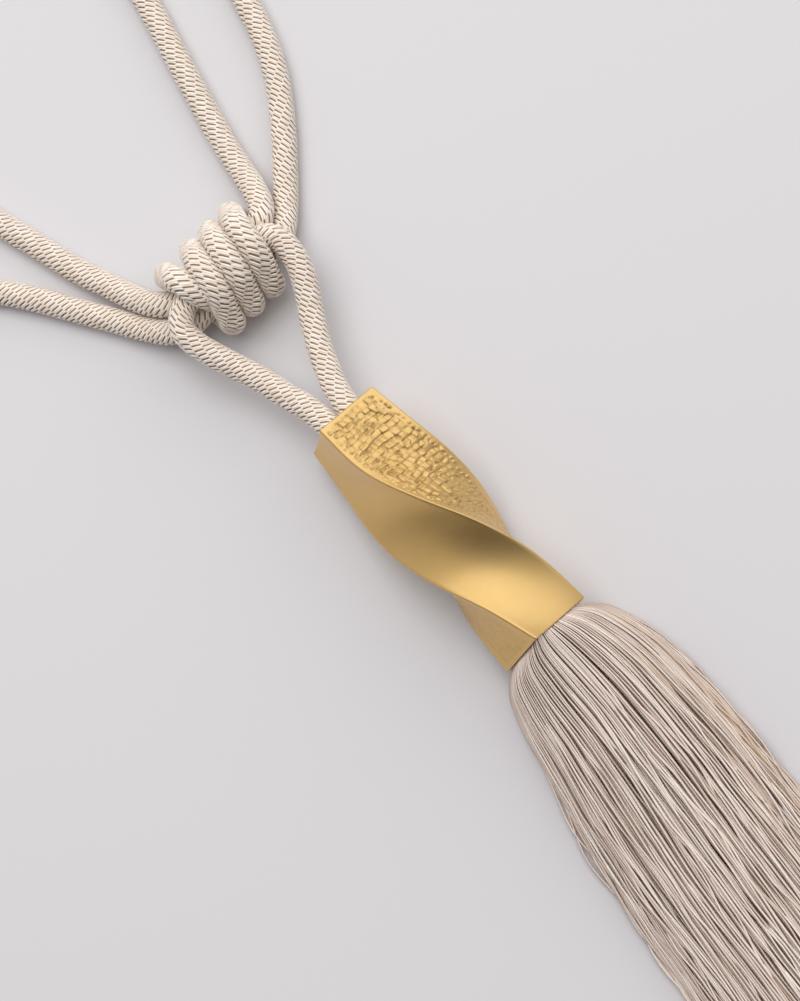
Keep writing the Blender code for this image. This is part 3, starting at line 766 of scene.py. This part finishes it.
def hammering(across, quarter):
    """Relief of a hammered face and the painted shade at each point: cells, beads round them, and ribs at the
    mouth.
    """
    chance = np.random.default_rng(HAMMER_SEED + quarter)
    a = across
    b = np.linspace(0.0, HEAD_LENGTH, len(across))[:, None]
    bent_b = b + wobble(chance, a, b, *ROW_BENDS)
    bent_a = a + wobble(chance, a, b, *COLUMN_BENDS)
    cell, groove, uneven = hammered_cells(chance, bent_a, bent_b)
    turned = eased(b, *FACE_TURNS)
    bead, ring = beads(chance, a / (1 + 1.1 * turned), b)
    bead, ring = bead * (1 + 0.4 * turned), ring * (0.3 + 1.7 * turned)

    from_edge = np.abs(a).max(axis=1)[:, None] - np.abs(a)
    cells = eased(from_edge, *BEAD_BORDER) * (1 - eased(b + 1.2 * a, *CELLS_END))
    plain = eased(from_edge, (1.0 + 1.1 * turned) * MM, (0.7 + 0.6 * turned) * MM)
    plain = plain * eased(b, *PLAIN_ENDS) * eased(HEAD_LENGTH - b, *PLAIN_ENDS)
    faint = plain
    for loss, start, length in FADES:
        faint = faint * (1 - loss * eased(b, start, length))
    rib = np.sin(2 * math.pi * bent_a / RIB_PITCH) * (0.6 + 0.4 * uneven)
    ribbed = plain * eased(b, *RIBS_START)
    height = (cell * cells + bead * (1 - cells)) * faint + RIB_HEIGHT * rib * ribbed
    # painted shade: darker in the cells' grooves, round the beads and in the valleys between the ribs
    painted_shade = (groove * cells + ring * (1 - cells)) * faint + 0.5 * np.clip(0.3 - rib, 0, 1) * ribbed
    return height, painted_shade


def oblong_radius(angle, radius):
    """How far the edge of the hole for the two ropes lies from its middle in this direction."""
    c, s = abs(math.cos(angle)), abs(math.sin(angle))
    if c * radius <= s * LEG_X:
        return radius / s
    return LEG_X * c + math.sqrt(max(radius**2 - (LEG_X * s) ** 2, 0.0))


def build_head(material):
    """One closed skin: the rope hole, the end round it, the four faces and the mouth's walls."""
    shares, sides, angles = head_rows()
    across, up, groove = square_rings(sides, HEAD_EDGE, HAMMERED_HOLLOW, SMOOTH_HOLLOW, hammering)
    skin = to_world(shares, angles, across, up)
    ring = skin.shape[1]

    # the end that the ropes leave, with its oblong hole
    end_across, end_up, _ = square_rings(sides[:1] - END_INSET, HEAD_EDGE, HAMMERED_HOLLOW, SMOOTH_HOLLOW)
    end_face = to_world(shares[:1] - END_STEP, angles[:1], end_across, end_up)
    centre = Vector((0.0, HEAD_HIGH.y, HEAD_AXIS_HEIGHT[0]))
    radius = ROPE_RADIUS + ROPE_HOLE_GAP
    hole = []
    for x, _, z in end_face[0]:
        direction = math.atan2(z - centre.z, x)
        reach = oblong_radius(direction, radius)
        hole.append((reach * math.cos(direction), centre.z + reach * math.sin(direction)))
    lip = [(x, HEAD_HIGH.y, z) for x, z in hole]
    floor = [(x, HEAD_HIGH.y - ROPE_HOLE_DEPTH, z) for x, z in hole]

    # the mouth, which the skirt fills
    inside = shares > 1 - MOUTH_DEPTH / HEAD_LENGTH
    wall_across, wall_up, _ = square_rings(sides[inside] - 2 * MOUTH_WALL, HEAD_EDGE, 0.0, 0.0)
    wall = to_world(shares[inside], angles[inside], wall_across, wall_up)[::-1]

    rings = np.concatenate([[floor], [lip], end_face, skin, wall])
    points = rings.reshape(-1, 3)
    points[:, 2] = np.maximum(points[:, 2], FLOOR_GAP / 2)
    faces = ring_faces(len(rings), ring)[:, ::-1].tolist()
    last = (len(rings) - 1) * ring
    faces.append(list(range(ring)))
    faces.append(list(range(last + ring - 1, last - 1, -1)))
    # the groove number carries the hammering's painted shade
    numbers = np.zeros(len(points))
    numbers[3 * ring : 3 * ring + groove.size] = groove.ravel()
    head = add_mesh("twisted_head", points, faces, material, {"groove": numbers})
    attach(head, "root")
    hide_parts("head")


# --- skirt ----------------------------------------------------------------------------------------------------
def section_at(distances):
    """Half width, height and drift of the laid skirt at each distance past the mouth."""
    return np.array([from_table(SKIRT_SECTIONS, max(0.0, d)) for d in distances]).T


def root_places(column, row):
    """x and z in the mouth's turned square for each thread's column, from -1 to 1, and row, from 0 to 1."""
    side, lean = from_table(HEAD_SECTIONS, 1.0)
    half = side / 2 - MOUTH_WALL - THREAD_RADIUS
    turn = math.radians(lean - 90)  # a square looks the same after a quarter turn
    cosine, sine = math.cos(turn), math.sin(turn)
    across = column * half * (cosine + sine)
    low = np.maximum((across * cosine - half) / sine, (-half - across * sine) / cosine)
    high = np.minimum((across * cosine + half) / sine, (half - across * sine) / cosine)
    return across, HEAD_AXIS_HEIGHT[1] + low + (high - low) * row


def wander(chance, count, distances, size, wave):
    """Smooth side steps for each thread along its length, none at the mouth."""
    total = np.zeros((count, len(distances)))
    for _ in range(3):
        length = wave * chance.uniform(0.7, 1.7, (count, 1))
        phase = chance.uniform(0, 2 * math.pi, (count, 1))
        total += np.sin(2 * math.pi * distances / length + phase) - np.sin(phase)
    return size * total / 3 * eased(distances, 0.0, 0.06)


def thread_paths(chance, column, row, loose):
    """(threads, stations, 3) points of the threads' middles."""
    distances = np.array(THREAD_STATIONS)
    count = len(column)
    half_width, height, drift = section_at(distances)
    root_x, root_z = root_places(column, row)
    gather = 1 - GATHER * np.clip(-distances, 0, None)  # towards the axis inside the mouth, whose walls turn
    root_x = root_x[:, None] * gather
    root_z = HEAD_AXIS_HEIGHT[1] + (root_z[:, None] - HEAD_AXIS_HEIGHT[1]) * gather
    crown = np.sqrt(np.clip(1 - column**2, 0.0, 1.0))[:, None]
    fan = column[:, None] + chance.normal(0, 0.004, (count, 1)) * eased(distances, 0.0, 0.03)
    laid_x = drift + half_width * fan
    laid_z = height * crown * row[:, None]
    spread = 1 - (1 - np.clip(distances / SPREAD_END, 0, 1)) ** 3
    x = root_x * (1 - spread) + laid_x * spread
    z = root_z * (1 - spread) + laid_z * spread
    for size, wave in SIDE_WAVES:
        x += wander(chance, count, distances, size * loose, wave)
    z += wander(chance, count, distances, LIFT_WAVE[0] * loose, LIFT_WAVE[1])
    lock = np.round(column * 9 + chance.normal(0, 0.25, count)).astype(int)
    bends, phases = np.random.default_rng(LOCK_SEED).normal(0, 1, (40, 2))[lock + 20].T[:, :, None]
    lock_size, lock_wave = LOCK_WAVE
    x += lock_size * bends * np.sin(distances / lock_wave + 3 * phases) * eased(distances, 0.0, 0.05)
    end = 1 - 0.018 * chance.random((count, 1)) * eased(distances, 0.09, 0.06)
    y = HEAD_LOW.y - distances * end
    z = np.maximum(z, THREAD_RADIUS + FLOOR_GAP)
    return np.stack([x, y + 0 * x, z], axis=-1)


def add_threads(name, paths, radii, numbers, material):
    """Fine tubes along the paths, joined in one mesh."""
    count, stations, _ = paths.shape
    along = np.gradient(paths, axis=1)
    along /= np.linalg.norm(along, axis=2)[..., None]
    across = np.cross(along, (0.0, 0.0, 1.0))
    across /= np.linalg.norm(across, axis=2)[..., None]
    up = np.cross(across, along)
    angle = math.pi / 2 + 2 * math.pi * np.arange(THREAD_SIDES) / THREAD_SIDES
    ring = across[:, :, None] * np.cos(angle)[:, None] + up[:, :, None] * np.sin(angle)[:, None]
    points = paths[:, :, None] + ring * radii[:, :, None, None]
    one = ring_faces(stations, THREAD_SIDES)
    first = (np.arange(count) * stations * THREAD_SIDES)[:, None, None]
    faces = (one[None] + first).reshape(-1, 4).tolist()
    start = list(range(THREAD_SIDES))
    last = [(stations - 1) * THREAD_SIDES + i for i in start]
    for offset in first.ravel():
        faces.append([offset + i for i in reversed(start)])
        faces.append([offset + i for i in last])
    wide = {key: np.repeat(values, stations * THREAD_SIDES) for key, values in numbers.items()}
    # painted highlight along the top of each thread and painted shade on its sides, one number for each side of
    # the tube
    painted_top_highlight = np.clip(np.sin(angle), 0, 1) ** 2
    wide["painted_top_highlight"] = np.tile(painted_top_highlight, count * stations)
    piece = add_mesh(name, points.reshape(-1, 3), faces, material, wide)
    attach(piece, "root")
    return piece


def thread_places(chance):
    """Each thread's column and row in the skirt, how loose it lies, and how deep, from 0 on top to 1."""
    columns, rows, looseness, depths = [], [], [], []
    for layer in range(SKIRT_LAYERS):
        size = 1 - layer * LAYER_STEP
        for i in range(LAYER_THREADS):
            place = i + 0.5 * (layer % 2) + chance.uniform(-0.15, 0.15)
            angle = SKIRT_HALF_ANGLE * (2 * place / LAYER_THREADS - 1)
            column = math.sin(angle) * size
            columns.append(column)
            rows.append(math.cos(angle) * size / math.sqrt(1 - column**2))
            looseness.append(chance.uniform(0.35, 0.80))
            depths.append(layer / (SKIRT_LAYERS - 1))
    for _ in range(CORE_THREADS):
        columns.append(chance.uniform(-0.8, 0.8))
        rows.append(chance.uniform(0.05, 0.75))
        looseness.append(0.6)
        depths.append(1.0)
    for _ in range(TOP_THREADS):
        columns.append(math.sin(chance.uniform(-1.45, 1.45)))
        rows.append(chance.uniform(0.99, 1.02))
        looseness.append(chance.uniform(0.9, 1.8))
        depths.append(0.0)
    for _ in range(STRAY_THREADS):
        columns.append(chance.choice((-1, 1)) * chance.uniform(0.93, EDGE_COLUMN))
        rows.append(chance.uniform(0.3, 1.0))
        looseness.append(chance.uniform(1.2, 2.4))
        depths.append(0.0)
    columns = np.clip(columns, -EDGE_COLUMN, EDGE_COLUMN)
    return columns, np.array(rows), np.array(looseness), np.array(depths)


def build_skirt(material):
    """Threads in two pieces of one chance-picked half each: layers, a filling, a combed top and strays."""
    chance = np.random.default_rng(SKIRT_SEED)
    columns, rows, looseness, depths = thread_places(chance)
    paths = thread_paths(chance, columns, rows, looseness[:, None])
    count = len(columns)
    distances = np.array(THREAD_STATIONS)
    thickness = chance.uniform(0.85, 1.15, (count, 1)) * (0.60 + 0.40 * eased(distances, 0.0, 0.045))
    beading = 1 + 0.08 * np.sin(distances / 0.0023 + chance.uniform(0, 6, (count, 1)))
    radii = THREAD_RADIUS * thickness * beading
    # each thread's own tone at random, plus painted shade that darkens the deeper layers and the filling
    tone_and_depth_shade = np.clip(0.70 - 0.6 * depths + 0.28 * chance.normal(0, 1, count), 0, 1)
    tan = np.where((columns > 0.55) & (chance.random(count) < 0.25), chance.uniform(0.2, 0.7, count), 0.0)
    order = chance.permutation(count)
    half = count // 2
    for name, chosen in (("skirt_threads_a", order[:half]), ("skirt_threads_b", order[half:])):
        numbers = {"tone_and_depth_shade": tone_and_depth_shade[chosen], "tan": tan[chosen]}
        piece = add_threads(name, paths[chosen], radii[chosen], numbers, material)
        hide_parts("skirt")


# --- setting --------------------------------------------------------------------------------------------------
def add_camera():
    """The photograph's viewing angle."""
    up = (CAMERA_UP - CAMERA_BACK * CAMERA_UP.dot(CAMERA_BACK)).normalized()
    right = up.cross(CAMERA_BACK)
    data = bpy.data.cameras.new("camera")
    data.sensor_fit = "AUTO"  # the sensor's width then spans the picture's long side
    data.angle = 2 * math.atan(PICTURE_SIZE[1] / 2 / FOCAL_PIXELS)
    data.clip_start = 0.05
    camera = bpy.data.objects.new("camera", data)
    bpy.context.scene.collection.objects.link(camera)
    place = CAMERA_TARGET + CAMERA_BACK * CAMERA_DISTANCE
    camera.matrix_world = Matrix.Translation(place) @ Matrix((right, up, CAMERA_BACK)).transposed().to_4x4()
    bpy.context.scene.camera = camera


def add_floor():
    shader = Shader("pale_floor")
    shader.set(Roughness=0.8, Specular_IOR_Level=0.2, Base_Color=FLOOR_COLOUR)
    corners = [(FLOOR_REACH * x, FLOOR_REACH * y, 0) for x, y in ((-1, -1), (1, -1), (1, 1), (-1, 1))]
    floor = add_mesh("floor", corners, [[0, 1, 2, 3]], shader.material)


def add_light(name, place, size, power):
    """A round light over the object that faces the origin."""
    data = bpy.data.lights.new(name, "AREA")
    data.shape = "DISK"
    data.size = size
    data.energy = power
    light = bpy.data.objects.new(name, data)
    bpy.context.scene.collection.objects.link(light)
    light.location = place
    light.rotation_mode = "QUATERNION"
    light.rotation_quaternion = (-Vector(place)).to_track_quat("-Z", "Y")
    return light


def add_lights():
    """A big soft light at one side, one overhead, and a pale room with a bright side and a dark patch."""
    world = bpy.data.worlds.new("studio")
    bpy.context.scene.world = world
    world.use_nodes = True
    tree = world.node_tree
    direction = tree.nodes.new("ShaderNodeTexCoord").outputs["Generated"]
    product = tree.nodes.new("ShaderNodeMath")
    product.operation = "MULTIPLY"
    for socket, (middle, (start, end, low, high)) in zip(product.inputs, (BRIGHT_SIDE, DARK_PATCH)):
        facing = tree.nodes.new("ShaderNodeVectorMath")
        facing.operation = "DOT_PRODUCT"
        facing.inputs[1].default_value = Vector(middle).normalized()
        tree.links.new(direction, facing.inputs[0])
        strength = tree.nodes.new("ShaderNodeMapRange")
        strength.interpolation_type = "SMOOTHSTEP"
        for key, value in (("From Min", start), ("From Max", end), ("To Min", low), ("To Max", high)):
            strength.inputs[key].default_value = value
        tree.links.new(facing.outputs["Value"], strength.inputs["Value"])
        tree.links.new(strength.outputs["Result"], socket)
    background = tree.nodes["Background"]
    background.inputs["Color"].default_value = ROOM_COLOUR
    tree.links.new(product.outputs[0], background.inputs["Strength"])
    add_light("key", *KEY_LIGHT)
    overhead = add_light("overhead", *OVERHEAD_LIGHT)
    overhead.visible_glossy = False  # it brightens cloth and floor, and leaves the metal's reflections soft
    bpy.context.scene.view_settings.view_transform = "Standard"


def main():
    for obj in list(bpy.data.objects):
        if obj.type in ("LIGHT", "CAMERA"):
            bpy.data.objects.remove(obj)
    add_camera()
    rope = rope_material()
    build_embrace(rope)
    build_hanger(rope)
    build_knot(rope)
    build_head(gold_material())
    build_skirt(thread_material())
    add_floor()
    add_lights()


main()
